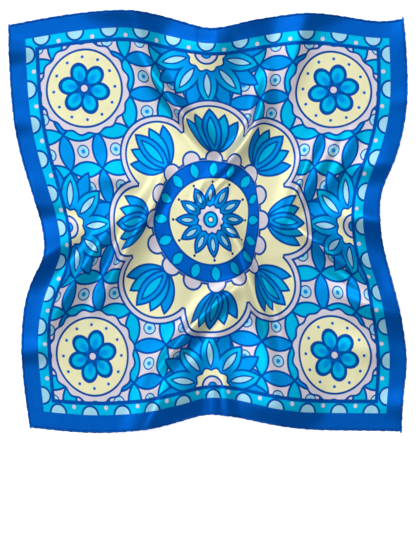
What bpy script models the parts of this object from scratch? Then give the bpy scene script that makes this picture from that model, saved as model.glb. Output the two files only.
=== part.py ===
# Silk square scarf, lying loosely on a flat surface with soft folds turning out from its middle.
# The cloth is one square with a narrow hem rolled along each of its four sides.
# +X runs to the right, +Y to the back edge and +Z up. Lengths below are in millimetres.

import bpy
import numpy as np

MM = 0.001

CUT = 530.0        # side of the finished square when it is flat
WALL = 1.0         # thickness of the panel's wall
HEM_WIDE = 3.4     # width of the rolled hem
HEM_HIGH = 2.2     # height of the rolled hem
SEAM_GAP = 0.5     # space between the panel and its hems, and between two hems at a corner
REST_LEVEL = 2.6   # how much of the fold form lies below the surface, so that the cloth rests flat
REST_SOFT = 0.8    # half height of the soft change from resting to lifted cloth
RIDGE_BLEND = 3.0  # how sharply two folds that meet pass into each other
TAPER = 1.6        # how soon a fold fades towards its ends
PANEL_CELLS = 53   # cells of the panel along each side
PANEL_FINER = 0.2  # how much smaller the panel's cells are at its middle
HEM_CELLS = 60     # stretches of each rolled hem
NET_CELLS = 53     # cells of the net that spreads the threads
NET_ROUNDS = 500   # times that the net is evened out
NET_STEP = 1.3     # how much of each pull a round takes up
SLANT_PULL = 0.5   # pull of a cell's diagonals, where that of its sides is 1
ROUGHNESS = 0.42   # roughness of the satin silk

BLUE = (0.0, 0.085, 0.52, 1.0)
CREAM = (0.80, 0.78, 0.50, 1.0)

# Outline of the cloth as it lies. Each edge is a smooth curve through its rows.
BACK_EDGE = [
    # x, y
    (-248.0, 246.0),
    (-54.0, 257.0),
    (-22.0, 248.0),
    (5.0, 242.0),
    (34.0, 246.0),
    (115.0, 260.0),
    (178.0, 256.0),
    (221.0, 251.0),
    (246.0, 254.0),
]
FRONT_EDGE = [
    # x, y
    (-221.0, -257.0),
    (-135.0, -264.0),
    (-35.0, -250.0),
    (-4.0, -242.0),
    (46.0, -246.0),
    (121.0, -259.0),
    (178.0, -261.0),
    (244.0, -262.0),
]
LEFT_EDGE = [
    # y, x
    (-257.0, -221.0),
    (-208.0, -228.0),
    (-122.0, -230.0),
    (-89.0, -224.0),
    (-65.0, -214.0),
    (-45.0, -204.0),
    (-22.0, -203.0),
    (48.0, -222.0),
    (98.0, -236.0),
    (152.0, -244.0),
    (246.0, -248.0),
]
RIGHT_EDGE = [
    # y, x
    (-262.0, 244.0),
    (-218.0, 246.0),
    (-182.0, 250.0),
    (-108.0, 240.0),
    (-62.0, 229.0),
    (40.0, 220.0),
    (75.0, 234.0),
    (254.0, 246.0),
]

# Folds, each a ridge from (x0, y0) to (x1, y1) that bows to its left.
# rise is its height where it is tallest, at the share peak of its length.
# left and right are how far its two sides reach, crest is the roundness of its top,
# and flare is how much wider it gets towards its far end.
FOLDS = [
    # name, x0, y0, x1, y1, bow, rise, peak, left, right, crest, flare
    ("back_left", 34, 64, -118, 278, 13, 14.5, 0.40, 11, 11, 8, 0.6),
    ("back_left_upper", -46, 150, -104, 310, 6, 10, 0.60, 24, 18, 10, 0.4),
    ("back_right", 78, 214, -12, 40, 26, 17, 0.48, 11, 11, 8, 0.0),
    ("back_right_upper", 88, 136, 36, 300, -2, 7, 0.60, 24, 19, 10, 0.4),
    ("back_right_edge", 98, 80, 134, 300, 8, 8, 0.64, 30, 14, 9, 0.5),
    ("back_hem", -74, 232, 62, 214, -2, 8, 0.52, 17, 90, 12, 0.0),
    ("front_right", -4, 48, 88, -212, 15, 15.5, 0.52, 11, 11, 8, 0.0),
    ("front_right_edge", 60, -76, 104, -300, -6, 12, 0.58, 22, 34, 9, 0.4),
    ("front_left", 76, -58, -98, -262, -24, 15.5, 0.44, 26, 11, 8, 0.4),
    ("front_middle", 8, -100, 30, -300, 2, 12, 0.66, 16, 14, 8, 0.3),
    ("front_middle_second", -30, -128, -104, -310, 8, 15.5, 0.60, 26, 15, 8, 0.4),
    ("front_hem", -100, -228, 8, -212, -2, 14, 0.56, 80, 17, 11, 0.0),
    ("front_hem_second", 16, -214, 168, -238, -3, 14, 0.58, 90, 17, 11, 0.0),
    ("left_inner", -42, 88, -158, -138, 5, 16.5, 0.48, 13, 11, 8, 0.2),
    ("left_second", -92, 30, -222, -178, -6, 15.5, 0.48, 15, 15, 8, 0.4),
    ("left_edge", -104, 22, -256, -82, 0, 15.5, 0.62, 14, 24, 8, 0.4),
    ("left_upper", -54, 46, -172, 58, 0, 6, 0.46, 15, 20, 8, 0.2),
    ("left_edge_upper", -140, 12, -276, 32, 0, 9.5, 0.62, 15, 20, 8, 0.3),
    ("right_upper", 80, -34, 146, 122, -2, 13, 0.54, 11, 11, 8, 0.0),
    ("right_upper_second", 98, -6, 174, 124, 0, 10, 0.52, 11, 11, 8, 0.0),
    ("right_upper_third", 126, 6, 198, 138, -3, 7.5, 0.50, 11, 13, 8, 0.0),
    ("right_edge_upper", 132, 52, 276, 80, 4, 8.5, 0.62, 22, 17, 8, 0.3),
    ("right_edge", 112, 20, 276, -12, 0, 15, 0.60, 21, 17, 8, 0.3),
    ("right_lower", 66, 24, 234, -106, 4, 16.5, 0.54, 15, 13, 8, 0.3),
    ("right_lower_second", 106, -50, 282, -128, -10, 15, 0.64, 25, 21, 8, 0.4),
]

# Broad lifts of the cloth: centre, reach along and across, turn in degrees, and height.
LIFTS = [
    # x, y, along, across, turn, rise
    (0, 0, 105, 105, 0, 8.0),
    (-172, 202, 60, 34, 30, 1.8),
    (165, 190, 60, 36, -60, 1.8),
    (-172, -160, 50, 34, 60, 2.2),
    (178, -172, 50, 36, 40, 1.8),
    (-105, 278, 60, 24, -4, 12.0),
    (-262, 122, 44, 14, 0, 7.0),
    (46, 266, 28, 24, 12, 10.0),
    (142, 276, 28, 24, 0, 10.0),
    (264, 152, 44, 14, 0, 4.5),
    (268, 236, 38, 34, 0, 7.5),
    (-262, 214, 44, 16, 0, 8.0),
    (-250, -163, 44, 14, 0, 7.5),
    (258, -228, 44, 20, 0, 7.0),
]


def smooth_curve(rows):
    """Return the natural cubic curve through rows of (place, value)."""
    place = np.array([row[0] for row in rows])
    value = np.array([row[1] for row in rows])
    step = np.diff(place)
    count = len(rows)
    matrix = np.eye(count)
    wanted = np.zeros(count)
    for k in range(1, count - 1):
        matrix[k, k - 1:k + 2] = (step[k - 1], 2.0 * (step[k - 1] + step[k]), step[k])
        wanted[k] = 6.0 * ((value[k + 1] - value[k]) / step[k] - (value[k] - value[k - 1]) / step[k - 1])
    bend = np.linalg.solve(matrix, wanted)

    def curve(where):
        k = np.clip(np.searchsorted(place, where) - 1, 0, count - 2)
        t = where - place[k]
        slope = (value[k + 1] - value[k]) / step[k] - step[k] * (2.0 * bend[k] + bend[k + 1]) / 6.0
        lower = value[k] + t * slope + t * t * bend[k] / 2.0
        return lower + t ** 3 * (bend[k + 1] - bend[k]) / (6.0 * step[k])

    return curve


back_edge = smooth_curve(BACK_EDGE)
front_edge = smooth_curve(FRONT_EDGE)
left_edge = smooth_curve(LEFT_EDGE)
right_edge = smooth_curve(RIGHT_EDGE)


def fold_height(x, y):
    """Height of all folds at (x, y), blended so that meeting folds don't add up."""
    total = np.zeros_like(x)
    for name, x0, y0, x1, y1, bow, rise, peak, left, right, crest, flare in FOLDS:
        length = np.hypot(x1 - x0, y1 - y0)
        along_x = (x1 - x0) / length
        along_y = (y1 - y0) / length
        t = ((x - x0) * along_x + (y - y0) * along_y) / length
        aside = (y - y0) * along_x - (x - x0) * along_y - bow * 4.0 * t * (1.0 - t)
        t = np.clip(t, 0.0, 1.0)
        swell = np.sin(np.pi * t ** (np.log(0.5) / np.log(peak))) ** TAPER
        reach = np.where(aside > 0.0, left, right) * (1.0 + flare * (t - 0.5))
        side = np.exp(-(np.sqrt(aside ** 2 + crest ** 2) - crest) / reach)
        total += (rise * swell * side) ** RIDGE_BLEND
    return total ** (1.0 / RIDGE_BLEND)


def lift_height(x, y):
    """Height of the broad lifts at (x, y)."""
    total = np.zeros_like(x)
    for centre_x, centre_y, along, across, turn, rise in LIFTS:
        cosine = np.cos(np.radians(turn))
        sine = np.sin(np.radians(turn))
        p = ((x - centre_x) * cosine + (y - centre_y) * sine) / along
        q = ((y - centre_y) * cosine - (x - centre_x) * sine) / across
        total += rise * np.exp(-p * p - q * q)
    return total


def cloth_height(x, y):
    """Height of the cloth's underside: exactly 0 where it rests."""
    level = fold_height(x, y) + lift_height(x, y) - REST_LEVEL
    soft = (level + REST_SOFT) ** 2 / (4.0 * REST_SOFT)
    return np.where(level < -REST_SOFT, 0.0, np.where(level > REST_SOFT, level, soft))


def on_outline(net):
    """Put the net's border back on the outline, with its corners fixed."""
    net[:, 0, 1] = front_edge(net[:, 0, 0])
    net[:, -1, 1] = back_edge(net[:, -1, 0])
    net[0, :, 0] = left_edge(net[0, :, 1])
    net[-1, :, 0] = right_edge(net[-1, :, 1])
    net[0, 0] = FRONT_EDGE[0]
    net[-1, 0] = FRONT_EDGE[-1]
    net[0, -1] = BACK_EDGE[0]
    net[-1, -1] = BACK_EDGE[-1]


def first_net():
    """Spread the threads evenly between the four edges."""
    share = np.linspace(0.0, 1.0, NET_CELLS + 1)
    s, r = np.meshgrid(share, share, indexing="ij")
    front_x = FRONT_EDGE[0][0] + (FRONT_EDGE[-1][0] - FRONT_EDGE[0][0]) * s
    back_x = BACK_EDGE[0][0] + (BACK_EDGE[-1][0] - BACK_EDGE[0][0]) * s
    left_y = LEFT_EDGE[0][0] + (LEFT_EDGE[-1][0] - LEFT_EDGE[0][0]) * r
    right_y = RIGHT_EDGE[0][0] + (RIGHT_EDGE[-1][0] - RIGHT_EDGE[0][0]) * r
    front = np.stack([front_x, front_edge(front_x)], -1)
    back = np.stack([back_x, back_edge(back_x)], -1)
    left = np.stack([left_edge(left_y), left_y], -1)
    right = np.stack([right_edge(right_y), right_y], -1)
    s = s[..., None]
    r = r[..., None]
    corners = (1 - s) * (1 - r) * front[0, 0] + s * (1 - r) * front[-1, 0]
    corners = corners + (1 - s) * r * back[0, 0] + s * r * back[-1, 0]
    return (1 - r) * front + r * back + (1 - s) * left + s * right - corners


def spread_threads():
    """Move the threads in the plane until they lie about as far apart as on the flat square."""
    net = first_net()
    cell = CUT / NET_CELLS
    rest = slice(0, -1)
    after = slice(1, None)
    whole = slice(None)
    links = [
        # one end, other end, length when flat, weight
        ((rest, whole), (after, whole), cell, 1.0),
        ((whole, rest), (whole, after), cell, 1.0),
        ((rest, rest), (after, after), cell * np.sqrt(2.0), SLANT_PULL),
        ((after, rest), (rest, after), cell * np.sqrt(2.0), SLANT_PULL),
    ]
    weights = np.zeros(net.shape[:2])
    for one, other, length, weight in links:
        weights[one] += weight
        weights[other] += weight
    for step in range(NET_ROUNDS):
        height = cloth_height(net[..., 0], net[..., 1])
        move = np.zeros_like(net)
        for one, other, length, weight in links:
            gap = net[other] - net[one]
            span = np.sqrt((gap ** 2).sum(-1) + (height[other] - height[one]) ** 2)
            pull = (weight * 0.5 * (span - length) / span)[..., None] * gap
            move[one] += pull
            move[other] -= pull
        net += NET_STEP * move / weights[..., None]
        on_outline(net)
    return net


def on_cloth(net, u, v):
    """Points of the cloth's underside for places (u, v) on the flat square, measured from its middle."""
    p = np.clip((u / CUT + 0.5) * NET_CELLS, 0.0, NET_CELLS)
    q = np.clip((v / CUT + 0.5) * NET_CELLS, 0.0, NET_CELLS)
    i = np.minimum(p.astype(int), NET_CELLS - 1)
    j = np.minimum(q.astype(int), NET_CELLS - 1)
    p = (p - i)[..., None]
    q = (q - j)[..., None]
    near = net[i, j] * (1 - p) + net[i + 1, j] * p
    far = net[i, j + 1] * (1 - p) + net[i + 1, j + 1] * p
    place = near * (1 - q) + far * q
    height = cloth_height(place[..., 0], place[..., 1])
    return np.concatenate([place, height[..., None]], -1)


def unit(vectors):
    return vectors / np.linalg.norm(vectors, axis=-1, keepdims=True)


def grid_triangles(number, points, centres, flip):
    """Two triangles a cell, cut along the diagonal that passes closer to the middle of the cloth there."""
    a = number[:-1, :-1].ravel()
    b = number[1:, :-1].ravel()
    c = number[1:, 1:].ravel()
    d = number[:-1, 1:].ravel()
    one = np.abs((points[1:, 1:] + points[:-1, :-1]) / 2.0 - centres)[..., 2].ravel()
    other = np.abs((points[1:, :-1] + points[:-1, 1:]) / 2.0 - centres)[..., 2].ravel()
    first = np.where((one <= other)[:, None], np.stack([a, b, c], -1), np.stack([a, b, d], -1))
    second = np.where((one <= other)[:, None], np.stack([a, c, d], -1), np.stack([b, c, d], -1))
    faces = np.concatenate([first, second])
    return faces[:, ::-1] if flip else faces


def panel_mesh(net):
    """The panel: a closed wall whose underside follows the folds."""
    reach = CUT / 2.0 - HEM_WIDE - SEAM_GAP
    share = np.linspace(-1.0, 1.0, PANEL_CELLS + 1)
    share = reach * (share + PANEL_FINER * (share ** 3 - share))
    u, v = np.meshgrid(share, share, indexing="ij")
    under = on_cloth(net, u, v)
    across = np.gradient(under, share, axis=0)
    along = np.gradient(under, share, axis=1)
    upper = under + WALL * unit(np.cross(across, along))
    halfway = (share[1:] + share[:-1]) / 2.0
    centres = on_cloth(net, *np.meshgrid(halfway, halfway, indexing="ij"))
    number = np.arange(u.size).reshape(u.shape)
    faces = [
        grid_triangles(number, under, centres, True),
        grid_triangles(number + u.size, under, centres, False),
    ]
    border = np.concatenate([number[:-1, 0], number[-1, :-1], number[:0:-1, -1], number[0, :0:-1]])
    following = np.roll(border, -1)
    faces.append(np.stack([border, following, following + u.size], -1))
    faces.append(np.stack([border, following + u.size, border + u.size], -1))
    points = np.concatenate([under.reshape(-1, 3), upper.reshape(-1, 3)])
    return points, np.concatenate(faces)


def hem_mesh(net, side, start, end):
    """A rolled hem along one side of the square, from start to end along it."""
    along = np.linspace(start, end, HEM_CELLS + 1)
    edge = np.full_like(along, CUT / 2.0)
    inner_edge = edge - HEM_WIDE
    places = {
        "front": ((along, -edge), (along, -inner_edge)),
        "back": ((-along, edge), (-along, inner_edge)),
        "left": ((-edge, -along), (-inner_edge, -along)),
        "right": ((edge, along), (inner_edge, along)),
    }
    outer = on_cloth(net, *places[side][0])
    inner = on_cloth(net, *places[side][1])
    middle = (outer + inner) / 2.0
    half = (outer - inner) / 2.0
    up = unit(np.cross(np.gradient(middle, axis=0), -half))
    ring = []
    section = [
        # share of half the width, share of the height
        (1.0, 0.5),
        (0.6, 1.0),
        (-0.6, 1.0),
        (-1.0, 0.5),
        (-0.6, 0.0),
        (0.6, 0.0),
    ]
    for wide, high in section:
        ring.append(middle + wide * half + high * HEM_HIGH * up)
    points = np.stack(ring, 1)
    sides = len(section)
    number = np.arange(points.shape[0] * sides).reshape(-1, sides)
    here = number[:-1].ravel()
    beside = np.roll(number, -1, axis=1)[:-1].ravel()
    faces = [
        np.stack([here, beside + sides, beside], -1),
        np.stack([here, here + sides, beside + sides], -1),
    ]
    for k in range(1, sides - 1):
        faces.append(np.array([[number[0, 0], number[0, k], number[0, k + 1]]]))
        faces.append(np.array([[number[-1, 0], number[-1, k + 1], number[-1, k]]]))
    return points.reshape(-1, 3), np.concatenate(faces)


def cloth_material(name, colour):
    material = bpy.data.materials.new(name)
    material.use_nodes = True
    shader = material.node_tree.nodes["Principled BSDF"]
    shader.inputs["Base Color"].default_value = colour
    shader.inputs["Roughness"].default_value = ROUGHNESS
    return material


def add_piece(name, points, faces, material):
    mesh = bpy.data.meshes.new(name)
    mesh.from_pydata((points * MM).tolist(), [], faces.tolist())
    mesh.materials.append(material)
    mesh.polygons.foreach_set("use_smooth", [True] * len(mesh.polygons))
    mesh.update()
    piece = bpy.data.objects.new(name, mesh)
    bpy.context.scene.collection.objects.link(piece)


for leftover in list(bpy.data.objects):
    bpy.data.objects.remove(leftover, do_unlink=True)

threads = spread_threads()
half_side = CUT / 2.0
short_end = half_side - HEM_WIDE - SEAM_GAP
pieces = {"panel": panel_mesh(threads)}
pieces["hem_front"] = hem_mesh(threads, "front", -half_side, half_side)
pieces["hem_right"] = hem_mesh(threads, "right", -short_end, short_end)
pieces["hem_back"] = hem_mesh(threads, "back", -half_side, half_side)
pieces["hem_left"] = hem_mesh(threads, "left", -short_end, short_end)

every_point = np.concatenate([points for points, faces in pieces.values()])
low = every_point.min(axis=0)
high = every_point.max(axis=0)
middle_of_box = np.array([(low[0] + high[0]) / 2.0, (low[1] + high[1]) / 2.0, 0.0])

printed = cloth_material("printed_silk", CREAM)
rolled = cloth_material("rolled_hem_silk", BLUE)
for name, (points, faces) in pieces.items():
    add_piece(name, points - middle_of_box, faces, printed if name == "panel" else rolled)
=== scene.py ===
# Looks of a printed silk square scarf that lies loosely on a pale surface.
# Lengths are in millimetres, x to the right, y to the back edge and z up, until a mesh is made.

import bpy
import numpy as np
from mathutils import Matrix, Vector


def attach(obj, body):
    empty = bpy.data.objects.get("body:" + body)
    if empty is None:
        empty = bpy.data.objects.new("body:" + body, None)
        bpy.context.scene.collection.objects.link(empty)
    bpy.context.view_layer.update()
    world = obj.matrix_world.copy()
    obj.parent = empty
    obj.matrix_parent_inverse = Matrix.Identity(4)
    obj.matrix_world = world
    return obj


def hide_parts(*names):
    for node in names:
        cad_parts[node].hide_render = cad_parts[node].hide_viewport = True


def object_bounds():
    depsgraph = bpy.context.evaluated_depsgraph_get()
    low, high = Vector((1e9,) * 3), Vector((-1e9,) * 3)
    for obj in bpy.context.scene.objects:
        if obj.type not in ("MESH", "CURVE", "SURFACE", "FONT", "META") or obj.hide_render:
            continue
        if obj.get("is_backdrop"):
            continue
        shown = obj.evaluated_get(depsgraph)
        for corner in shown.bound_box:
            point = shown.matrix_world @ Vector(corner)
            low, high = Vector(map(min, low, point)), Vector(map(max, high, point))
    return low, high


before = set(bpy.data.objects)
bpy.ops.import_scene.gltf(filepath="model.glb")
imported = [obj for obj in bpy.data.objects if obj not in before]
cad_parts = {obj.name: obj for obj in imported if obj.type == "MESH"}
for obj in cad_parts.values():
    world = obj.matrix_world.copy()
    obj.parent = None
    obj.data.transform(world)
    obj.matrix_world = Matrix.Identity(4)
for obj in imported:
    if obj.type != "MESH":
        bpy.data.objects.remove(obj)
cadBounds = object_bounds()

metre = 0.001            # metres in a millimetre

scarf = {
    "side": 530.0,        # side of the finished square when it is flat
}
halfSide = scarf["side"] / 2.0

# How the cloth lies.
lay = {
    "netCells": 53,       # cells of the first net along each side
    "evenRounds": 600,    # times that the first net is evened out in the plane
    "evenStep": 1.3,      # how much of each pull such a round takes up
    "edgeStiffness": 1.5,  # how much stiffer the cloth is at its hem
    "edgeReach": 22.0,    # how far in from the hem that stiffness goes
    "settleRounds": 40,   # steps in which the cloth settles
    "fineRounds": 20,     # steps in which the finer net settles after that
    "slackKept": 0.2,     # share of the missing thread length that the folds take up
    "bending": 0.03,      # how strongly the cloth smooths its own bends
    "fineBending": 0.06,  # the same for the finer net
    "heightHold": 0.15,   # pull back to the height of the fold table at each step
    "fineHold": 0.15,     # the same for the finer net
    "edgeHold": 0.05,     # pull back to the first place near the hem
    "edgeHoldReach": 30.0,  # how far in from the hem that pull goes
    "carry": 0.9,         # share of its speed that the cloth keeps from step to step
    "settleStep": 1.2,    # how much of each pull a step takes up
    "slantPull": 0.5,     # pull of a cell's diagonals, where that of its sides is 1
    "restLevel": 2.2,     # how much of the fold form lies below the surface
    "restSoft": 1.8,      # half height of the soft change from resting to lifted cloth
    "ridgeBlend": 3.0,    # how sharply two folds that meet pass into each other
    "taper": 1.6,         # how soon a fold fades towards its ends
    "tuckSoft": 9.0,      # half width of the strip in which a tuck hides its cloth
    "tuckReach": 70.0,    # how far from a tuck the cloth is drawn in
}

backEdge = [
    # x, y
    (-248, 246), (-54, 257), (-22, 248), (5, 242), (34, 246), (115, 260), (178, 256), (221, 251),
    (246, 254),
]
frontEdge = [
    # x, y
    (-221, -257), (-135, -264), (-35, -250), (-4, -242), (46, -246), (121, -259), (178, -261),
    (244, -262),
]
leftEdge = [
    # y, x
    (-257, -221), (-208, -228), (-122, -230), (-89, -224), (-65, -214), (-45, -204), (-22, -203),
    (48, -222), (98, -236), (152, -244), (246, -248),
]
rightEdge = [
    # y, x
    (-262, 244), (-218, 246), (-182, 250), (-108, 240), (-62, 229), (40, 220), (75, 234), (254, 246),
]

# Folds, each a ridge from (x0, y0) to (x1, y1) that bows to its left. rise is its height at the share
# peak of its length, left and right are the reach of its sides, crest is the roundness of its top,
# and flare is how much wider it gets towards its far end.
folds = [
    # name, x0, y0, x1, y1, bow, rise, peak, left, right, crest, flare
    ("backLeft", 34, 64, -118, 278, 13, 14.5, 0.40, 9, 8, 6.5, 0.6),
    ("backLeftUpper", -46, 150, -104, 310, 6, 11, 0.60, 20, 15, 9, 0.4),
    ("backRight", 78, 214, -12, 40, 26, 18, 0.48, 8, 6.5, 5.5, 0.0),
    ("backRightUpper", 88, 136, 36, 300, -2, 7, 0.60, 22, 17, 9, 0.4),
    ("backRightEdge", 98, 80, 134, 300, 8, 9, 0.64, 26, 10, 8, 0.5),
    ("backHem", -74, 232, 62, 214, -2, 9, 0.52, 15, 90, 12, 0.0),
    ("frontRight", -4, 48, 88, -212, 15, 16.5, 0.52, 7, 7, 6.5, 0.0),
    ("frontRightEdge", 60, -76, 104, -300, -6, 13, 0.58, 19, 34, 7, 0.4),
    ("frontLeft", 76, -58, -98, -262, -24, 17.5, 0.43, 22, 8, 5, 0.4),
    ("frontMiddle", 8, -100, 30, -300, 2, 13, 0.66, 13, 11, 6, 0.3),
    ("frontMiddleSecond", -30, -128, -104, -310, 8, 17, 0.60, 24, 12, 6.5, 0.4),
    ("frontHem", -100, -228, 8, -212, -2, 14, 0.58, 70, 15, 11, 1.0),
    ("frontHemSecond", 10, -216, 160, -240, -3, 14.5, 0.54, 75, 16, 11, -1.0),
    ("leftInner", -42, 88, -158, -138, 5, 17.5, 0.48, 10, 8, 6, 0.2),
    ("leftSecond", -92, 30, -222, -178, -6, 17, 0.48, 12, 12, 6.5, 0.4),
    ("leftEdge", -104, 22, -256, -82, 0, 17, 0.62, 12, 24, 8, 0.4),
    ("leftUpper", -54, 46, -172, 58, 0, 6.5, 0.46, 12, 18, 7.5, 0.2),
    ("leftEdgeUpper", -140, 12, -276, 32, 0, 10.5, 0.62, 13, 18, 7, 0.3),
    ("rightUpper", 80, -34, 146, 122, -2, 13, 0.54, 8, 7, 5.5, 0.0),
    ("rightUpperSecond", 98, -6, 174, 124, 0, 10, 0.52, 7, 8, 5.5, 0.0),
    ("rightUpperThird", 126, 6, 198, 138, -3, 7.5, 0.50, 9, 10, 6.5, 0.0),
    ("rightEdgeUpper", 132, 52, 276, 80, 4, 9, 0.62, 20, 15, 7.5, 0.3),
    ("rightEdge", 112, 20, 276, -12, 0, 16, 0.60, 20, 16, 8, 0.3),
    ("rightLower", 66, 24, 234, -106, 4, 18, 0.54, 12, 10, 5, 0.3),
    ("rightLowerSecond", 106, -50, 282, -128, -10, 16, 0.64, 24, 20, 5.5, 0.4),
]

# Fine creases over the folds, with one reach for both sides: a soft ridge, or a trough where rise is
# under 0.
creases = [
    # name, x0, y0, x1, y1, bow, rise, reach
    ("backLeftHollow", -76, 178, 2, 80, -3, -5, 6.5),
    ("backRightHollow", 60, 168, 10, 80, 14, -6.5, 8.5),
    ("backRise", 18, 296, 16, 176, 0, 4.5, 17),
    ("backBarLeft", -14, 284, -16, 196, 0, 0.9, 2.2),
    ("backBarRight", 10, 284, 12, 196, 0, 0.9, 2.2),
    ("middleTop", 52, 86, -32, 0, 3, 4, 3.4),
    ("middleHollow", 38, 64, -22, 10, 3, -3, 4),
    ("middleSecond", 36, 64, 4, 12, 0, 3, 2.8),
    ("middleThird", 2, 60, -20, 10, -2, 2.5, 2.6),
    ("frontRightSecond", 10, 10, 62, -80, 7, 3.5, 3),
    ("frontRightHollow", 24, -10, 74, -128, 8, -3, 5),
    ("frontRightThird", 64, -46, 98, -166, 4, 2, 3.4),
    ("frontLeftHollow", 50, -86, -54, -200, -4, -8, 9),
    ("frontLeftFar", 20, -132, -34, -182, -3, -2, 8),
    ("frontBarLeft", 0, -170, -2, -276, 0, 1.3, 2),
    ("frontBarRight", 16, -170, 18, -276, 0, 1.3, 2),
    ("leftBorderFlute", -214, -196, -252, -212, 0, 2.5, 9),
    ("leftInnerUpper", -50, 54, -92, -24, 3, 3, 3),
    ("leftInnerHollow", -42, 46, -78, -20, 3, -3, 4.5),
    ("leftArmHollow", -92, 26, -140, 62, 0, -2.5, 11),
    ("leftSecondFlute", -112, -30, -142, -84, 0, -3, 5),
    ("rightUpperHollow", 96, 0, 140, 92, -2, -3, 4),
    ("rightUpperRidge", 112, 30, 150, 98, 0, 2.5, 3),
    ("rightLowerTop", 148, -56, 218, -98, 0, 3, 3.2),
    ("rightLowerHollow", 128, -32, 208, -84, 0, -3.5, 5.5),
    ("rightFieldFlute", 150, -148, 262, -186, 4, 3, 14),
    ("leftFieldFlute", -196, 34, -112, -8, 4, 3, 10),
    ("rightArmHollow", 66, -50, 132, -70, 0, -1.5, 12),
]

# Tucks, where cloth is hidden in a fold or under it, so that the print on both sides is drawn together.
tucks = [
    # x0, y0, x1, y1, bow, take
    (66, 120, 44, -60, 4, 16),
    (60, 96, -40, 4, 0, 9),
    (36, 20, 84, -180, 12, 13),
    (66, -58, -76, -196, -8, 15),
    (-42, 88, -156, -124, 5, 13),
    (-92, 30, -212, -160, -6, 13),
    (60, 28, 240, -104, 4, 14),
    (92, -20, 156, 130, -2, 13),
    (30, 70, -104, 256, 13, 13),
    (80, 214, 0, 60, 26, 12),
]

# Broad lifts of the cloth: centre, reach along and across, turn in degrees, and height.
lifts = [
    # x, y, along, across, turn, rise
    (0, 0, 105, 105, 0, 8.0),
    (-172, 202, 60, 34, 30, 1.8),
    (165, 190, 60, 36, -60, 1.8),
    (-172, -160, 50, 34, 60, 2.2),
    (178, -172, 50, 36, 40, 1.8),
    (-105, 278, 60, 24, -4, 12.0),
    (-262, 122, 44, 14, 0, 7.0),
    (46, 266, 28, 24, 12, 10.0),
    (142, 276, 28, 24, 0, 10.0),
    (264, 152, 44, 14, 0, 4.5),
    (268, 236, 38, 34, 0, 7.5),
    (-262, 214, 44, 16, 0, 8.0),
    (-250, -163, 44, 14, 0, 7.5),
    (258, -228, 44, 20, 0, 7.0),
    (240, 14, 22, 13, -12, 6.0),
    (252, -90, 26, 30, 20, 4.0),
]


def smoothCurve(rows):
    # natural cubic curve through rows of (place, value): its bend is 0 at both ends
    place, value = np.array(rows).T
    step = np.diff(place)
    count = len(rows)
    matrix = np.eye(count)
    wanted = np.zeros(count)
    slope = np.diff(value) / step
    inner = np.arange(1, count - 1)
    matrix[inner, inner - 1] = step[:-1]
    matrix[inner, inner] = 2.0 * (step[:-1] + step[1:])
    matrix[inner, inner + 1] = step[1:]
    wanted[inner] = 6.0 * np.diff(slope)
    bend = np.linalg.solve(matrix, wanted)

    def curve(where):
        k = np.clip(np.searchsorted(place, where) - 1, 0, count - 2)
        t = where - place[k]
        first = slope[k] - step[k] * (2.0 * bend[k] + bend[k + 1]) / 6.0
        third = (bend[k + 1] - bend[k]) / (6.0 * step[k])
        return value[k] + t * first + t * t * bend[k] / 2.0 + t ** 3 * third

    return curve


backCurve, frontCurve = smoothCurve(backEdge), smoothCurve(frontEdge)
leftCurve, rightCurve = smoothCurve(leftEdge), smoothCurve(rightEdge)


def alongFold(x, y, x0, y0, x1, y1, bow):
    # share of the way along a line that bows to its left, and the distance to the left of it
    length = np.hypot(x1 - x0, y1 - y0)
    alongX, alongY = (x1 - x0) / length, (y1 - y0) / length
    t = ((x - x0) * alongX + (y - y0) * alongY) / length
    aside = (y - y0) * alongX - (x - x0) * alongY - bow * 4.0 * t * (1.0 - t)
    return np.clip(t, 0.0, 1.0), aside


def foldHeight(x, y):
    # each fold is rise * swell(along) * side(across). The swell is sin(pi * along^power)^taper, with
    # the power that puts its top at the peak, and the side falls off as exp(-distance / reach). Folds
    # add as a power mean, so none doubles
    total = np.zeros_like(x)
    for name, x0, y0, x1, y1, bow, rise, peak, left, right, crest, flare in folds:
        t, aside = alongFold(x, y, x0, y0, x1, y1, bow)
        swell = np.sin(np.pi * t ** (np.log(0.5) / np.log(peak))) ** lay["taper"]
        reach = np.where(aside > 0.0, left, right) * (1.0 + flare * (t - 0.5))
        side = np.exp(-(np.sqrt(aside ** 2 + crest ** 2) - crest) / reach)
        total += (rise * swell * side) ** lay["ridgeBlend"]
    return total ** (1.0 / lay["ridgeBlend"])


def creaseHeight(x, y):
    # sum of rise * sin(pi * along)^taper * exp(-(across / reach)^2)
    total = np.zeros_like(x)
    for name, x0, y0, x1, y1, bow, rise, reach in creases:
        t, aside = alongFold(x, y, x0, y0, x1, y1, bow)
        total += rise * np.sin(np.pi * t) ** lay["taper"] * np.exp(-(aside / reach) ** 2)
    return total


def liftHeight(x, y):
    # sum of rise * exp(-(along / reach)^2 - (across / reach)^2)
    total = np.zeros_like(x)
    for centreX, centreY, along, across, turn, rise in lifts:
        cosine, sine = np.cos(np.radians(turn)), np.sin(np.radians(turn))
        p = ((x - centreX) * cosine + (y - centreY) * sine) / along
        q = ((y - centreY) * cosine - (x - centreX) * sine) / across
        total += rise * np.exp(-p * p - q * q)
    return total


def tableHeight(x, y):
    # folds and lifts less the rest level, cut off softly at 0 by a parabola
    level = foldHeight(x, y) + creaseHeight(x, y) + liftHeight(x, y) - lay["restLevel"]
    soft = lay["restSoft"]
    return np.where(level < -soft, 0.0, np.where(level > soft, level, (level + soft) ** 2 / (4.0 * soft)))


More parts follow.
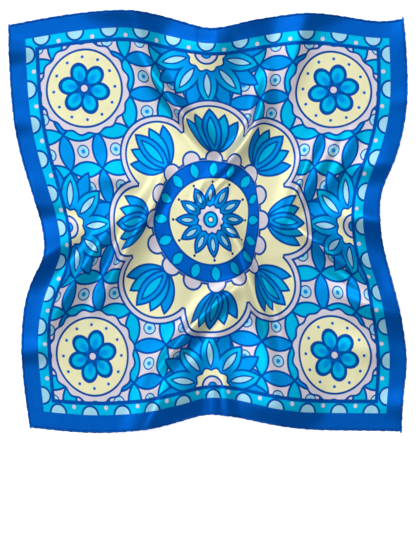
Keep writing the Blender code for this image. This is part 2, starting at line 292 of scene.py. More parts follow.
def drawIn(net):
    # each tuck moves the cloth towards its line by
    # take / 2 * swell(along) * tanh(across / soft) * exp(-|across| / reach)
    x, y = net[..., 0].copy(), net[..., 1].copy()
    for x0, y0, x1, y1, bow, take in tucks:
        t, aside = alongFold(x, y, x0, y0, x1, y1, bow)
        swell = np.sin(np.pi * t) ** lay["taper"]
        pull = np.tanh(aside / lay["tuckSoft"]) * np.exp(-np.abs(aside) / lay["tuckReach"])
        move = take / 2.0 * swell * pull
        length = np.hypot(x1 - x0, y1 - y0)
        net[..., 0] += move * (y1 - y0) / length
        net[..., 1] -= move * (x1 - x0) / length


def toOutline(net):
    # puts the border of a net back on the four edge curves, with its corners fixed
    net[:, 0, 1] = frontCurve(net[:, 0, 0])
    net[:, -1, 1] = backCurve(net[:, -1, 0])
    net[0, :, 0] = leftCurve(net[0, :, 1])
    net[-1, :, 0] = rightCurve(net[-1, :, 1])
    net[0, 0, :2], net[-1, 0, :2] = frontEdge[0], frontEdge[-1]
    net[0, -1, :2], net[-1, -1, :2] = backEdge[0], backEdge[-1]


def firstNet():
    # threads spread evenly between the edges: the sum of the two ruled nets less the net of the corners
    def spread(edge, share):
        return edge[0][0] + (edge[-1][0] - edge[0][0]) * share

    share = np.linspace(0.0, 1.0, lay["netCells"] + 1)
    s, r = np.meshgrid(share, share, indexing="ij")
    frontX, backX = spread(frontEdge, s), spread(backEdge, s)
    leftY, rightY = spread(leftEdge, r), spread(rightEdge, r)
    front = np.stack([frontX, frontCurve(frontX)], -1)
    back = np.stack([backX, backCurve(backX)], -1)
    left = np.stack([leftCurve(leftY), leftY], -1)
    right = np.stack([rightCurve(rightY), rightY], -1)
    s, r = s[..., None], r[..., None]
    corners = (1 - s) * (1 - r) * front[0, 0] + s * (1 - r) * front[-1, 0]
    corners = corners + (1 - s) * r * back[0, 0] + s * r * back[-1, 0]
    return (1 - r) * front + r * back + (1 - s) * left + s * right - corners


def fromEdge(cells):
    # distance in from the nearest edge of the flat square, at each knot of a net
    place = np.abs(np.linspace(-0.5, 0.5, cells + 1)) * scarf["side"]
    return halfSide - np.maximum(place[:, None], place[None, :])


def threadsOf(cells):
    # the net's threads and diagonals: rows of one end, other end, flat length and weight
    rest, after, whole = slice(0, -1), slice(1, None), slice(None)
    cell = scarf["side"] / cells
    return [
        ((rest, whole), (after, whole), cell, 1.0),
        ((whole, rest), (whole, after), cell, 1.0),
        ((rest, rest), (after, after), cell * np.sqrt(2.0), lay["slantPull"]),
        ((after, rest), (rest, after), cell * np.sqrt(2.0), lay["slantPull"]),
    ]


def evenedNet():
    # moves the knots in the plane until the thread lengths over the folds are as even as they can be
    net = firstNet()
    threads = threadsOf(lay["netCells"])
    depth = fromEdge(lay["netCells"])
    weights = np.zeros(net.shape[:2])
    rows = []
    for one, other, length, weight in threads:
        inward = (depth[one] + depth[other]) / 2.0 / lay["edgeReach"]
        stiff = weight * (1.0 + lay["edgeStiffness"] * np.exp(-inward ** 2))
        weights[one] += stiff
        weights[other] += stiff
        rows.append((one, other, length, stiff))
    for step in range(lay["evenRounds"]):
        height = tableHeight(net[..., 0], net[..., 1])
        move = np.zeros_like(net)
        for one, other, length, stiff in rows:
            gap = net[other] - net[one]
            span = np.sqrt((gap ** 2).sum(-1) + (height[other] - height[one]) ** 2)
            pull = (stiff * 0.5 * (span - length) / span)[..., None] * gap
            move[one] += pull
            move[other] -= pull
        net += lay["evenStep"] * move / weights[..., None]
        toOutline(net)
    drawIn(net)
    return net


def doubled(net):
    # halves the cells: a new knot is 9/16 of its two neighbours less 1/16 of the two beyond them
    for axis in (0, 1):
        old = np.moveaxis(net, axis, 0)
        wide = np.concatenate([[2 * old[0] - old[1]], old, [2 * old[-1] - old[-2]]])
        new = np.empty((2 * old.shape[0] - 1,) + old.shape[1:])
        new[::2] = old
        new[1::2] = (9.0 * (wide[1:-2] + wide[2:-1]) - wide[:-3] - wide[3:]) / 16.0
        net = np.moveaxis(new, 0, axis)
    return np.ascontiguousarray(net)


def settledNet(knots, rounds, bending, heightHold):
    # the cloth settles in space: threads pull to their length, bends smooth themselves, nothing goes
    # below the surface, and a weak pull keeps each part near its height in the fold table
    cells = knots.shape[0] - 1
    toOutline(knots)
    start = knots.copy()
    weights = np.zeros(knots.shape[:2])
    rows = []
    for one, other, flat, weight in threadsOf(cells):
        span = np.linalg.norm(knots[other] - knots[one], axis=-1)
        length = np.minimum(span + lay["slackKept"] * (flat - span), flat)
        rows.append((one, other, length, weight))
        weights[one] += weight
        weights[other] += weight
    hold = (lay["edgeHold"] * np.exp(-(fromEdge(cells) / lay["edgeHoldReach"]) ** 2))[..., None]
    speed = np.zeros_like(knots)
    for step in range(rounds):
        before = knots.copy()
        knots = knots + speed * lay["carry"]
        for half in range(2):
            move = np.zeros_like(knots)
            for one, other, length, weight in rows:
                gap = knots[other] - knots[one]
                span = np.linalg.norm(gap, axis=-1) + 1e-9
                pull = (weight * 0.5 * (span - length) / span)[..., None] * gap
                move[one] += pull
                move[other] -= pull
            knots = knots + lay["settleStep"] * move / weights[..., None]
            bend = np.zeros_like(knots)
            across = (knots[:-2] + knots[2:]) / 2.0 - knots[1:-1]
            bend[1:-1] += across
            bend[:-2] -= across / 2.0
            bend[2:] -= across / 2.0
            along = (knots[:, :-2] + knots[:, 2:]) / 2.0 - knots[:, 1:-1]
            bend[:, 1:-1] += along
            bend[:, :-2] -= along / 2.0
            bend[:, 2:] -= along / 2.0
            knots = knots + bending * bend / 2.0
            knots[..., 2] = np.maximum(knots[..., 2], 0.0)
            toOutline(knots)
        speed = knots - before
        knots[..., 2] += heightHold * (start[..., 2] - knots[..., 2])
        knots[..., :2] += hold * (start[..., :2] - knots[..., :2])
    return knots


def tableNet(net):
    # a net in the plane, given the heights of the tables
    toOutline(net)
    return np.concatenate([net, tableHeight(net[..., 0], net[..., 1])[..., None]], -1)


def drapedNet():
    # the evened net with the tables' heights, settled on a coarse net and then on a finer one
    knots = tableNet(doubled(evenedNet()))
    knots = settledNet(knots, lay["settleRounds"], lay["bending"], lay["heightHold"])
    knots = tableNet(doubled(knots[..., :2]))
    return settledNet(knots, lay["fineRounds"], lay["fineBending"], lay["fineHold"])


def unit(vectors):
    return vectors / np.linalg.norm(vectors, axis=-1, keepdims=True)


def sampled(grid, u, v):
    # value of a grid over the square at places (u, v) measured from its middle, straight between knots
    cells = grid.shape[0] - 1
    p = np.clip((u / scarf["side"] + 0.5) * cells, 0.0, cells)
    q = np.clip((v / scarf["side"] + 0.5) * cells, 0.0, cells)
    i = np.minimum(p.astype(int), cells - 1)
    j = np.minimum(q.astype(int), cells - 1)
    p, q = (p - i)[..., None], (q - j)[..., None]
    near = grid[i, j] * (1 - p) + grid[i + 1, j] * p
    far = grid[i, j + 1] * (1 - p) + grid[i + 1, j + 1] * p
    return near * (1 - q) + far * q


clothNet = drapedNet()
middle = (clothNet.reshape(-1, 3).min(0) + clothNet.reshape(-1, 3).max(0)) / 2.0
clothNet[..., :2] -= middle[:2]
clothFacing = unit(np.cross(np.gradient(clothNet, axis=0), np.gradient(clothNet, axis=1)))
print("cloth settled: tallest fold", round(float(clothNet[..., 2].max()), 1), "mm")


def addMesh(name, points, faces, materials, uvLayers=None):
    # faces are quads as rows of four corners, uvLayers are arrays of a place for each corner of each face
    mesh = bpy.data.meshes.new(name)
    mesh.vertices.add(len(points))
    mesh.vertices.foreach_set("co", (points * metre).astype(np.float32).ravel())
    mesh.loops.add(faces.size)
    mesh.loops.foreach_set("vertex_index", faces.astype(np.int32).ravel())
    mesh.polygons.add(len(faces))
    mesh.polygons.foreach_set("loop_start", np.arange(0, faces.size, 4, dtype=np.int32))
    mesh.polygons.foreach_set("use_smooth", np.ones(len(faces), dtype=bool))
    for layer, places in (uvLayers or {}).items():
        mesh.uv_layers.new(name=layer)
        mesh.uv_layers[layer].data.foreach_set("uv", places.astype(np.float32).ravel())
    for material in materials:
        mesh.materials.append(material)
    mesh.update(calc_edges=True)
    mesh.validate()
    piece = bpy.data.objects.new(name, mesh)
    bpy.context.scene.collection.objects.link(piece)
    return piece


class Wire:
    # wraps a socket of a material, so that sums on it add the nodes that work them out
    def __init__(self, tree, socket=None):
        self.tree = tree
        self.socket = socket

    def node(self, kind, settings=None, sockets=None, output=0):
        # settings are the node's own, sockets are values or wires by name or number
        node = self.tree.nodes.new(kind)
        for name, value in (settings or {}).items():
            setattr(node, name, value)
        for name, value in (sockets or {}).items():
            if isinstance(value, Wire):
                self.tree.links.new(value.socket, node.inputs[name])
            else:
                node.inputs[name].default_value = value
        return Wire(self.tree, node.outputs[output])

    def maths(self, operation, *values, clamp=False):
        settings = {"operation": operation, "use_clamp": clamp}
        return self.node("ShaderNodeMath", settings, dict(enumerate(values)))

    def __add__(self, other):
        return self.maths("ADD", self, other)

    __radd__ = __add__

    def __sub__(self, other):
        return self.maths("SUBTRACT", self, other)

    def __rsub__(self, other):
        return self.maths("SUBTRACT", other, self)

    def __mul__(self, other):
        return self.maths("MULTIPLY", self, other)

    __rmul__ = __mul__

    def __truediv__(self, other):
        return self.maths("DIVIDE", self, other)

    def __rtruediv__(self, other):
        return self.maths("DIVIDE", other, self)

    def __abs__(self):
        return self.maths("ABSOLUTE", self)

    def larger(self, other):
        return self.maths("MAXIMUM", self, other)

    def smaller(self, other):
        return self.maths("MINIMUM", self, other)

    def folded(self, half):
        # goes up to half and back to 0, over and over
        return self.maths("PINGPONG", self, half)

    def cosine(self):
        return self.maths("COSINE", self)

    def sine(self):
        return self.maths("SINE", self)

    def angleWith(self, other):
        # angle of the point (other, self), anticlockwise from the x axis
        return self.maths("ARCTAN2", self, other)

    def lengthWith(self, other):
        # distance of the point (self, other) from the origin
        point = self.node("ShaderNodeCombineXYZ", None, {0: self, 1: other})
        return self.node("ShaderNodeVectorMath", {"operation": "LENGTH"}, {0: point}, output="Value")

    def within(self, edge, softness=0.35):
        # 1 where the value is under edge, 0 where it is over, with a soft change of that width
        return self.maths("MULTIPLY_ADD", self, -1.0 / softness, 0.5 + edge / softness, clamp=True)

    def between(self, low, high):
        # colour that goes from low to high as the value goes from 0 to 1
        return self.node("ShaderNodeMix", {"data_type": "RGBA"}, {0: self, 6: low, 7: high}, output=2)

    def painted(self, colour, mask):
        # this colour, with another one laid over it where the mask is 1
        return mask.between(self, colour)

    def into(self, shader, name):
        self.tree.links.new(self.socket, shader.inputs[name])


def newMaterial(name):
    material = bpy.data.materials.new(name)
    material.use_nodes = True
    return material, material.node_tree.nodes["Principled BSDF"]


def screenColour(red, green, blue):
    # a colour as seen on a screen, from 0 to 255, turned into light
    value = np.array([red, green, blue]) / 255.0
    light = np.where(value <= 0.04045, value / 12.92, ((value + 0.055) / 1.055) ** 2.4)
    return (*light.tolist(), 1.0)


dyes = {
    "cream": screenColour(242, 240, 195),
    "lilac": screenColour(219, 214, 225),
    "ice": screenColour(160, 217, 240),
    "cyan": screenColour(0, 186, 233),
    "azure": screenColour(0, 146, 228),
    "royal": screenColour(0, 100, 206),
    "border": screenColour(0, 94, 192),
    "outline": screenColour(0, 80, 168),
    "ink": screenColour(0, 58, 130),
}

printing = {
    "line": 1.4,          # half the width of the printed outlines
    "fieldSide": 228.0,   # half the side of the square field inside the band of tiles
    "fieldLine": 2.0,     # half the width of the line round it
    "bandMiddle": 28.0,   # distance in from the edge to the middle of the band of tiles
    "bandHalf": 6.0,      # half the width of that band
    "tileHalf": 22.2,     # half the distance from tile to tile
    "tileInset": 22.0,    # distance in from the edge to the middle of a tile's disc
    "tileRadius": 11.0,
    "dotInset": 31.0,     # distance in from the edge to the dots between the tiles
    "dotRadius": 2.6,
    "ringHalf": 22.8,     # half the distance from ring to ring of the trellis
    "beadRim": 8.4,       # radii of the bead in each ring: its outline, its fill and its eye
    "bead": 6.8,
    "beadEye": 2.8,
}

medallion = {
    "place": 170.0,       # of its middle, from the scarf's middle both ways
    "rim": 58.0,
    "ground": 49.0,
    "scallops": 16,
    "scallopDepth": 1.6,
    "petals": 6,
    "petalPlace": 20.0,   # distance from the medallion's middle to a petal's
    "petalHalf": 9.8,     # half the width of a petal
    "petalSquash": 0.82,  # its width as a share of its length
    "petalLine": 2.0,
    "heartPlace": 15.5,   # the same for the shade inside a petal
    "heartHalf": 3.6,
    "heartSquash": 0.55,
    "heartSoft": 3.0,     # width over which that shade fades out
    "eye": 5.6,
    "beads": 12,
    "beadPlace": 40.0,
    "beadRadius": 2.0,
}


def outlined(colour, shape, fill, width=printing["line"]):
    # colour with a shape laid over it: a distance, and its value at the shape's edge. The outline
    # goes width to both sides of the edge
    distance, edge = shape
    colour = colour.painted(dyes["outline"], distance.within(edge + width))
    return colour.painted(fill, distance.within(edge - width))


def leaf(x, y, start, end, halfWidth):
    # pointed leaf from start to end: where two discs overlap. Returns a distance and its edge value
    length = np.hypot(end[0] - start[0], end[1] - start[1])
    alongX, alongY = (end[0] - start[0]) / length, (end[1] - start[1]) / length
    centreX, centreY = (start[0] + end[0]) / 2.0, (start[1] + end[1]) / 2.0
    half = length / 2.0
    inset = (half * half - halfWidth * halfWidth) / (2.0 * halfWidth)
    along = x * alongX + (y * alongY - (centreX * alongX + centreY * alongY))
    across = y * alongX - (x * alongY + (centreY * alongX - centreX * alongY))
    return along.lengthWith(abs(across) + inset), inset + halfWidth


def spokes(distance, angle, count):
    # places along and across the nearest of that many spokes
    turn = angle.folded(np.pi / count)
    return distance * turn.cosine(), distance * turn.sine()


def tileBand(p, q):
    # plain border with a band of tiles: discs cut off by the band's edge, and dots between them
    inward = halfSide - p
    tile = q.folded(printing["tileHalf"])
    band = abs(inward - printing["bandMiddle"]).within(printing["bandHalf"])
    disc = tile.lengthWith(inward - printing["tileInset"])
    dot = (tile - printing["tileHalf"]).lengthWith(inward - printing["dotInset"])
    rim = abs(disc - printing["tileRadius"]).within(printing["line"])
    colour = band.between(dyes["border"], dyes["cyan"])
    colour = colour.painted(dyes["ice"], band * disc.within(printing["tileRadius"]))
    colour = colour.painted(dyes["outline"], band * rim)
    return colour.painted(dyes["lilac"], dot.within(printing["dotRadius"]))


def ringTrellis(p, q):
    # interlaced rings whose overlaps are petals, with a bead in the middle of each ring
    cell = printing["ringHalf"]
    cellP, cellQ = p.folded(cell), q.folded(cell)
    here = cellP.lengthWith(cellQ)
    beyondP = (2.0 * cell - cellP).lengthWith(cellQ)
    beyondQ = cellP.lengthWith(2.0 * cell - cellQ)
    reach = cell * np.sqrt(2.0)
    colour = here.within(printing["beadRim"]).between(dyes["lilac"], dyes["outline"])
    colour = colour.painted(dyes["ice"], here.within(printing["bead"]))
    colour = colour.painted(dyes["azure"], here.within(printing["beadEye"]))
    colour = outlined(colour, (here.larger(beyondP), reach), dyes["azure"])
    return outlined(colour, (here.larger(beyondQ), reach), dyes["cyan"])


def cornerMedallion(colour, p, q):
    # scalloped disc with a flower of round petals and a ring of beads
    x, y = p - medallion["place"], q - medallion["place"]
    distance = x.lengthWith(y)
    angle = y.angleWith(x)
    scallop = (angle * medallion["scallops"]).cosine() * medallion["scallopDepth"]
    colour = outlined(colour, (distance + scallop, medallion["rim"]), dyes["lilac"])
    colour = outlined(colour, (distance, medallion["ground"]), dyes["cream"])
    along, across = spokes(distance, angle + np.pi / 4.0, medallion["petals"])
    petal = ((along - medallion["petalPlace"]) * medallion["petalSquash"]).lengthWith(across)
    heart = ((along - medallion["heartPlace"]) * medallion["heartSquash"]).lengthWith(across)
    petalShape = (petal, medallion["petalHalf"])
    colour = outlined(colour, petalShape, dyes["cyan"], medallion["petalLine"])
    colour = colour.painted(dyes["azure"], heart.within(medallion["heartHalf"], medallion["heartSoft"]))
    colour = outlined(colour, (distance, medallion["eye"]), dyes["lilac"])
    along, across = spokes(distance, angle, medallion["beads"])
    bead = (along - medallion["beadPlace"]).lengthWith(across)
    return colour.painted(dyes["royal"], bead.within(medallion["beadRadius"]))


def sideRosette(colour, p, q):
    # half a rosette at the middle of a side: pointed petals, others behind them, and a scalloped eye
    count = 10
    x = printing["fieldSide"] - p
    distance = x.lengthWith(q)
    angle = q.angleWith(x)
    scallop = (angle * count).cosine() * 1.6
    shade = ((distance - 30.0) / 30.0).between(dyes["azure"], dyes["cyan"])
    along, across = spokes(distance, angle + np.pi / count, count)
    petalBehind = leaf(along, across, (24, 0), (79, 0), halfWidth=10.0)
    along, across = spokes(distance, angle, count)
    petal = leaf(along, across, (10, 0), (70, 0), halfWidth=12.5)
    vein = leaf(along, across, (26, 0), (60, 0), halfWidth=4.4)
    eye, iris, pupil = (distance + scallop, 24.0), (distance, 14.0), (distance, 6.0)
    colour = outlined(colour, petalBehind, dyes["azure"])
    colour = outlined(colour, petal, shade)
    colour = outlined(colour, vein, dyes["ice"], 1.0)
    colour = outlined(colour, eye, dyes["cream"])
    colour = outlined(colour, iris, dyes["lilac"])
    return outlined(colour, pupil, dyes["azure"], 1.0)


def lobedField(colour, distance, angle):
    # eight-lobed cream field, in each lobe a bud with two leaves at each side
    along, across = spokes(distance, angle, 8)
    lobe = (along - 112.0).lengthWith(across).smaller(distance - 76.0)
    shade = ((along - 95.0) / 50.0).between(dyes["azure"], dyes["cyan"])
    outerLeaf = leaf(along, across, (92, 6), (134, 33), halfWidth=8.5)
    innerLeaf = leaf(along, across, (92, 3), (144, 18), halfWidth=9.5)
    bud = leaf(along, across, (90, 0), (152, 0), halfWidth=12.0)
    heart = leaf(along, across, (100, 0), (142, 0), halfWidth=5.6)
    rim, ground = (lobe, 52.0), (lobe, 44.5)
    colour = outlined(colour, rim, dyes["lilac"])
    colour = outlined(colour, ground, dyes["cream"])
    colour = outlined(colour, outerLeaf, dyes["azure"])
    colour = outlined(colour, innerLeaf, shade)
    colour = outlined(colour, bud, dyes["azure"])
    return outlined(colour, heart, dyes["cyan"], 1.1)


def scallopRing(colour, distance, angle):
    # sixteen scallops round a dark ring of leaves
    along, across = spokes(distance, angle, 16)
    scallop = (along - 82.0).lengthWith(across).smaller(distance - 70.0)
    petal = leaf(along, across, (59, 0), (79, 0), halfWidth=6.4)
    rim, ring, ground = (scallop, 12.0), (distance, 79.0), (distance, 58.0)
    colour = outlined(colour, rim, dyes["lilac"])
    colour = outlined(colour, ring, dyes["royal"])
    colour = outlined(colour, petal, dyes["cyan"], 1.1)
    return outlined(colour, ground, dyes["cream"])


def middleRosette(colour, distance, angle):
    # twelve pointed petals round a scalloped eye, with a bead before each
    count = 12
    along, across = spokes(distance, angle, count)
    scallop = (angle * count).cosine() * 1.2
    bead = (along - 52.0).lengthWith(across)
    petal = leaf(along, across, (8, 0), (48, 0), halfWidth=7.4)
    vein = leaf(along, across, (23, 0), (42, 0), halfWidth=3.2)
    eye, iris, pupil = (distance + scallop, 18.0), (distance, 9.5), (distance, 3.6)
    colour = colour.painted(dyes["ink"], bead.within(1.8))
    colour = outlined(colour, petal, dyes["azure"])
    colour = outlined(colour, vein, dyes["ice"], 0.8)
    colour = outlined(colour, eye, dyes["lilac"])
    colour = outlined(colour, iris, dyes["cyan"])
    return outlined(colour, pupil, dyes["cream"], 0.9)


silk = {
    "ribPitch": 0.7,      # distance over which the twill's rib repeats, along a thread
    "ribBump": 0.006,     # height of the rib
    "waveScale": 0.05,    # waves of the cloth's own unevenness in a millimetre
    "waveBump": 0.6,      # height of those waves
    "roughness": 0.45,    # before what the rib and the waves add
    "ribRoughness": 0.02,
    "waveRoughness": 0.1,
    "metallic": 0.74,     # share of the sheen that takes the colour of a dark dye
    "paleLoss": 0.4,      # how much of that share the palest dye loses
    "specular": 0.06,
}

rolledSilk = {
    # the same silk in the hems, where it is rolled tight
    "ribBump": 0.015,
    "waveScale": 0.12,
    "waveBump": 0.3,
    "roughness": 0.34,
    "waveRoughness": 0.12,
}


def printedSilk():
    # a square of flowers inside a royal border, on twill
    material, shader = newMaterial("printedSilk")
    wire = Wire(material.node_tree)
    place = wire.node("ShaderNodeUVMap", {"uv_map": "cut"})
    flat = wire.node("ShaderNodeVectorMath", {"operation": "MULTIPLY_ADD"},
                     {0: place, 1: (scarf["side"],) * 3, 2: (-halfSide,) * 3})
    x = wire.node("ShaderNodeSeparateXYZ", None, {0: flat}, output=0)
    y = wire.node("ShaderNodeSeparateXYZ", None, {0: flat}, output=1)
    fromMiddle = x.lengthWith(y)
    angle = y.angleWith(x)

    # p and q are places in one eighth of the square, into which all the others are mirrored
    p, q = abs(x).larger(abs(y)), abs(x).smaller(abs(y))
    inField = p.within(printing["fieldSide"])
    fieldEdge = abs(p - printing["fieldSide"]).within(printing["fieldLine"])
    colour = tileBand(p, q).painted(ringTrellis(p, q), inField)
    colour = cornerMedallion(colour, p, q)
    colour = colour.painted(sideRosette(colour, p, q), inField)
    colour = colour.painted(dyes["outline"], fieldEdge)
    colour = lobedField(colour, fromMiddle, angle)
    colour = scallopRing(colour, fromMiddle, angle)
    colour = middleRosette(colour, fromMiddle, angle)
    colour.into(shader, "Base Color")

    # slanting ribs, and the cloth's own unevenness
    rib = ((x + y) * (2.0 * np.pi / silk["ribPitch"])).sine()
    waves = wire.node("ShaderNodeTexNoise", None,
                      {"Vector": flat, "Scale": silk["waveScale"], "Detail": 3.0, "Roughness": 0.5})
    height = rib * silk["ribBump"] + waves * silk["waveBump"]
    bump = wire.node("ShaderNodeBump", None, {"Strength": 1.0, "Distance": metre, "Height": height})
    bump.into(shader, "Normal")
    roughness = waves * silk["waveRoughness"] + (rib * silk["ribRoughness"] + silk["roughness"])
    roughness.into(shader, "Roughness")

    # a dark dye takes most of the scattered light, so its sheen stands out more than a pale one's
    red = wire.node("ShaderNodeSeparateColor", None, {0: colour}, output=0)
    metallic = silk["metallic"] - red * silk["paleLoss"]
    metallic.into(shader, "Metallic")
    shader.inputs["Specular IOR Level"].default_value = silk["specular"]
    return material


def hemSilk():
    # royal silk of the hems, a little darker in places, with the twill's rib across the roll
    material, shader = newMaterial("hemSilk")
    wire = Wire(material.node_tree)
    place = wire.node("ShaderNodeUVMap", {"uv_map": "hem"})
    along = wire.node("ShaderNodeSeparateXYZ", None, {0: place}, output=0)
    around = wire.node("ShaderNodeSeparateXYZ", None, {0: place}, output=1)
    waves = wire.node("ShaderNodeTexNoise", None,
                      {"Vector": place, "Scale": rolledSilk["waveScale"], "Detail": 3.0})
    waves.between(dyes["border"], dyes["outline"]).into(shader, "Base Color")
    rib = ((along + around) * (2.0 * np.pi / silk["ribPitch"])).sine()
    height = rib * rolledSilk["ribBump"] + waves * rolledSilk["waveBump"]
    bump = wire.node("ShaderNodeBump", None, {"Strength": 1.0, "Distance": metre, "Height": height})
    bump.into(shader, "Normal")
    roughness = waves * rolledSilk["waveRoughness"] + rolledSilk["roughness"]
    roughness.into(shader, "Roughness")
    shader.inputs["Metallic"].default_value = silk["metallic"]
    shader.inputs["Specular IOR Level"].default_value = silk["specular"]
    return material


def threadSilk():
    # sewing thread in two close blues
    material, shader = newMaterial("threadSilk")
    wire = Wire(material.node_tree)
    place = wire.node("ShaderNodeTexCoord", None, None, output="Object")
    noise = wire.node("ShaderNodeTexNoise", None, {"Vector": place, "Scale": 900.0, "Detail": 2.0})
    colour = noise.between(screenColour(0, 70, 170), screenColour(40, 120, 215))
    colour.into(shader, "Base Color")
    shader.inputs["Roughness"].default_value = 0.45
    return material


cloth = {
    "cells": 210,         # cells along each side of the sheet
    "thickness": 0.45,    # thickness of the shell
    "hemCover": 1.2,      # how far in from the edge the sheet ends, inside the rolled hem
    "bakeShare": 0.62,    # share of the OFBake map's width for the upper side
    "bakeGap": 0.01,      # space to both sides of the line between it and the under side
}


def clothShell(material):
    # upper and under side are the settled surface at (u, v) moved along its facing, joined round the edge
    reach = halfSide - cloth["hemCover"]
    row = np.linspace(-reach, reach, cloth["cells"] + 1)
    u, v = np.meshgrid(row, row, indexing="ij")
    under = sampled(clothNet, u, v)
    facing = unit(sampled(clothFacing, u, v))
    upper = under + cloth["thickness"] * facing
    number = np.arange(u.size).reshape(u.shape)
    quads = np.stack([number[:-1, :-1], number[1:, :-1], number[1:, 1:], number[:-1, 1:]], -1)
    quads = quads.reshape(-1, 4)
    border = np.concatenate([number[:-1, 0], number[-1, :-1], number[:0:-1, -1], number[0, :0:-1]])
    beside = np.roll(border, -1)
    rim = np.stack([border, beside, beside + u.size, border + u.size], -1)
    points = np.concatenate([under.reshape(-1, 3), upper.reshape(-1, 3)])
    faces = np.concatenate([quads[:, ::-1], quads + u.size, rim])
    onCut = np.stack([u, v], -1).reshape(-1, 2) / scarf["side"] + 0.5
    cut = np.concatenate([onCut, onCut])[faces]
    share, gap = cloth["bakeShare"], cloth["bakeGap"]
    bakeUpper = onCut * (share - gap, 1.0)
    bakeUnder = onCut * (1.0 - share - gap, 1.0) + (share + gap, 0.0)
    bake = np.concatenate([bakeUnder[quads[:, ::-1]], bakeUpper[quads], bakeUpper[rim % u.size]])
    return addMesh("printedCloth", points, faces, [material], {"cut": cut, "OFBake": bake})


def tubes(rings):
    # faces of closed tubes whose points are given by tube, station and corner: walls, then both ends
    number = np.arange(rings.size // 3).reshape(rings.shape[:3])
    beside = np.roll(number, -1, axis=2)
    walls = np.stack([number[:, :-1], number[:, 1:], beside[:, 1:], beside[:, :-1]], -1)
    k = np.arange(rings.shape[2] // 2 - 1)
    first, last = number[:, 0], number[:, -1]
    firstCap = np.stack([first[:, k], first[:, k + 1], first[:, -k - 2], first[:, -k - 1]], -1)
    lastCap = np.stack([last[:, -k - 1], last[:, -k - 2], last[:, k + 1], last[:, k]], -1)
    return np.concatenate([part.reshape(-1, 4) for part in (walls, firstCap, lastCap)])


hem = {
    "halfWidth": 1.3,
    "halfHeight": 0.6,
    "pucker": 0.12,       # share by which the roll narrows at each stitch
    "stitchPitch": 3.0,   # distance from stitch to stitch
    "stations": 530,      # rings along a side
    "around": 12,         # corners of a ring
    "tipLength": 4.0,     # length of the pointed end at a corner
    "tipShare": 0.06,     # size of its very end, as a share of the roll
}

# How the roll strays from a straight line: a sum of waves.
strays = [
    # height, turn for each millimetre along, turn for each millimetre past the corner
    (0.175, 0.61, 1.0),
    (0.14, 0.37, 2.0),
    (0.105, 1.13, 0.0),
]

sides = {
    # side: places on the flat square for a distance along it and a distance in from its edge
    "front": lambda along, depth: (along, depth - halfSide),
    "right": lambda along, depth: (halfSide - depth, along),
    "back": lambda along, depth: (-along, halfSide - depth),
    "left": lambda along, depth: (depth - halfSide, -along),
}


def hemLine(side, along, depth):
    # points of the underside, the facing and the outward direction along a side. Past the corners
    # they are carried straight on
    inside = np.clip(along, -halfSide, halfSide)
    u, v = sides[side](inside, np.full_like(along, depth))
    points = sampled(clothNet, u, v)
    facing = unit(sampled(clothFacing, u, v))
    ahead = unit(np.gradient(points, axis=0) + 1e-9)
    over = (along - inside)[:, None]
    # the fourth ring from an end lies on the cloth on all four sides
    firstAhead, lastAhead = ahead[3], ahead[-4]
    points = points + np.where(over < 0.0, over * firstAhead, over * lastAhead)
    ahead = np.where(over < 0.0, firstAhead, np.where(over > 0.0, lastAhead, ahead))
    outward = unit(np.cross(ahead, facing))
    return points, facing, outward


def hemRoll(side, past, material):
    # an oval carried along the side, narrower at each stitch and drawn to a point at both ends
    half = halfSide + past
    along = np.linspace(-half, half, hem["stations"] + 1)
    points, facing, outward = hemLine(side, along, hem["halfWidth"])
    stray = sum(height * np.sin(along * turn + past * begin) for height, turn, begin in strays)
    points = points + stray[:, None] * outward
    turn = np.linspace(0.0, 2.0 * np.pi, hem["around"], endpoint=False)
    taper = np.clip((half - np.abs(along)) / hem["tipLength"], 0.0, 1.0)
    size = np.sqrt(1.0 - (1.0 - taper) ** 2) * (1.0 - hem["tipShare"]) + hem["tipShare"]
    stitchWave = 0.5 + 0.5 * np.cos(2.0 * np.pi * along / hem["stitchPitch"])
    size = size * (1.0 - hem["pucker"] * stitchWave ** 3)
    wide = hem["halfWidth"] * size[:, None] * np.cos(turn)
    high = hem["halfHeight"] * size[:, None] * (1.0 + np.sin(turn))
    ring = points[:, None, :] + wide[..., None] * outward[:, None, :]
    ring = ring + high[..., None] * facing[:, None, :]
    ring[..., 2] = np.maximum(ring[..., 2], 0.0)
    faces = tubes(ring[None])
    alongRing = np.repeat(along[:, None], hem["around"], 1)
    aroundRing = np.repeat(turn[None, :] * hem["halfWidth"], len(along), 0)
    uv = np.stack([alongRing, aroundRing], -1).reshape(-1, 2)[faces]
    return addMesh("hemRoll" + side.capitalize(), ring.reshape(-1, 3), faces, [material], {"hem": uv})


stitch = {
    "length": 1.9,
    "radius": 0.16,
    "thinEnd": 0.35,      # size of the thread's ends, as a share of its middle
    "inset": 3.2,         # distance in from the edge
    "fromCorner": 7.0,    # distance from a corner to the first stitch
    "sink": 0.03,         # how far the ends lie below the cloth's upper side
    "bulge": 0.12,        # how far the middle stands above the ends
    "rings": 5,
    "around": 6,
}


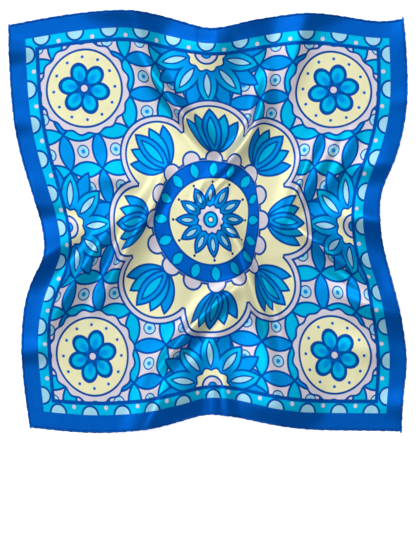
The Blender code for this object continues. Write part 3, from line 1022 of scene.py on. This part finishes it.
def hemStitches(material):
    # each stitch is a thread along the hem whose height and radius follow a half circle
    reach = halfSide - stitch["fromCorner"]
    along = np.arange(-reach, reach + 0.1, hem["stitchPitch"])
    t = np.linspace(-1.0, 1.0, stitch["rings"])
    places = along[:, None] + t * stitch["length"] / 2.0
    arch = np.sqrt(1.0 - t ** 2)
    radius = stitch["radius"] * (stitch["thinEnd"] + (1.0 - stitch["thinEnd"]) * arch)
    turn = np.linspace(0.0, 2.0 * np.pi, stitch["around"], endpoint=False)
    rings = []
    for onSquare in sides.values():
        u, v = onSquare(places, np.full_like(places, stitch["inset"]))
        facing = unit(sampled(clothFacing, u, v))
        points = sampled(clothNet, u, v) + (cloth["thickness"] - stitch["sink"]) * facing
        ahead = unit(points[:, -1] - points[:, 0])[:, None, :]
        outward = unit(np.cross(ahead, facing))
        points = points + stitch["bulge"] * arch[:, None] * facing
        around = np.cos(turn)[:, None] * outward[:, :, None, :]
        around = around + np.sin(turn)[:, None] * facing[:, :, None, :]
        rings.append(points[:, :, None, :] + radius[:, None, None] * around)
    rings = np.concatenate(rings)
    return addMesh("hemStitches", rings.reshape(-1, 3), tubes(rings), [material])


silkMaterial, hemMaterial, threadMaterial = printedSilk(), hemSilk(), threadSilk()

printedCloth = clothShell(silkMaterial)
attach(printedCloth, "root")
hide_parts("panel")
print("printed cloth:", len(printedCloth.data.polygons), "faces")

for side, past in (("front", 0.6), ("right", 2.4), ("back", 0.8), ("left", 1.4)):
    roll = hemRoll(side, past, hemMaterial)
    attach(roll, "root")
    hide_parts("hem_" + side)

stitches = hemStitches(threadMaterial)
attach(stitches, "root")
print("stitches:", len(stitches.data.polygons), "faces")


studio = {
    "floorTone": 0.45,
    "floorGlow": 0.8,         # light that the floor gives off, so that it looks white
    "skyGlow": 0.31,
    "floorSize": 60.0,        # in metres, as are those below
    "floorDrop": 0.0004,      # how far the floor lies below the scarf
    "viewHeight": 0.700,      # height of the view at the floor
    "cameraDistance": 2.4,
    "cameraX": 0.0025,
    "cameraY": -0.0725,
}

suns = [
    # name, direction that its light comes from, strength, degrees across
    ("keyLight", (-0.36, 0.38, 0.85), 1.7, 48.0),
    ("topLight", (0.0, 0.1, 1.0), 0.1, 30.0),
    ("rimLight", (0.75, 0.25, 0.60), 0.12, 40.0),
]


def plainFloor():
    half = studio["floorSize"] / 2.0 / metre
    points = np.array([[-half, -half, 0.0], [half, -half, 0.0], [half, half, 0.0], [-half, half, 0.0]])
    points[:, 2] = -studio["floorDrop"] / metre
    material, shader = newMaterial("paleFloor")
    shader.inputs["Base Color"].default_value = (*(studio["floorTone"],) * 3, 1.0)
    shader.inputs["Roughness"].default_value = 0.9
    shader.inputs["Specular IOR Level"].default_value = 0.1
    shader.inputs["Emission Color"].default_value = (1.0, 1.0, 1.0, 1.0)
    shader.inputs["Emission Strength"].default_value = studio["floorGlow"]
    return addMesh("floor", points, np.array([[0, 1, 2, 3]]), [material])


plainFloor()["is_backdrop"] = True

for name, (x, y, z), power, spread in suns:
    sun = bpy.data.lights.new(name, "SUN")
    sun.energy = power
    sun.angle = np.radians(spread)
    light = bpy.data.objects.new(name, sun)
    bpy.context.scene.collection.objects.link(light)
    light.rotation_euler = (np.arctan2(np.hypot(x, y), z), 0.0, np.arctan2(y, x) + np.pi / 2.0)

world = bpy.data.worlds.new("studioWorld")
bpy.context.scene.world = world
world.use_nodes = True
sky = world.node_tree.nodes["Background"]
sky.inputs["Color"].default_value = (1.0, 1.0, 1.0, 1.0)
sky.inputs["Strength"].default_value = studio["skyGlow"]

bpy.context.scene.view_settings.view_transform = "Standard"

cameraData = bpy.data.cameras.new("camera")
cameraData.sensor_width = 36.0
cameraData.lens = 36.0 * studio["cameraDistance"] / studio["viewHeight"]
camera = bpy.data.objects.new("camera", cameraData)
camera.location = (studio["cameraX"], studio["cameraY"], studio["cameraDistance"])
bpy.context.scene.collection.objects.link(camera)
bpy.context.scene.camera = camera

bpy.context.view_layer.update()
for name, box in (("solids", cadBounds), ("dressed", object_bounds())):
    print("size of the", name, [[round(float(value), 4) for value in corner] for corner in box])
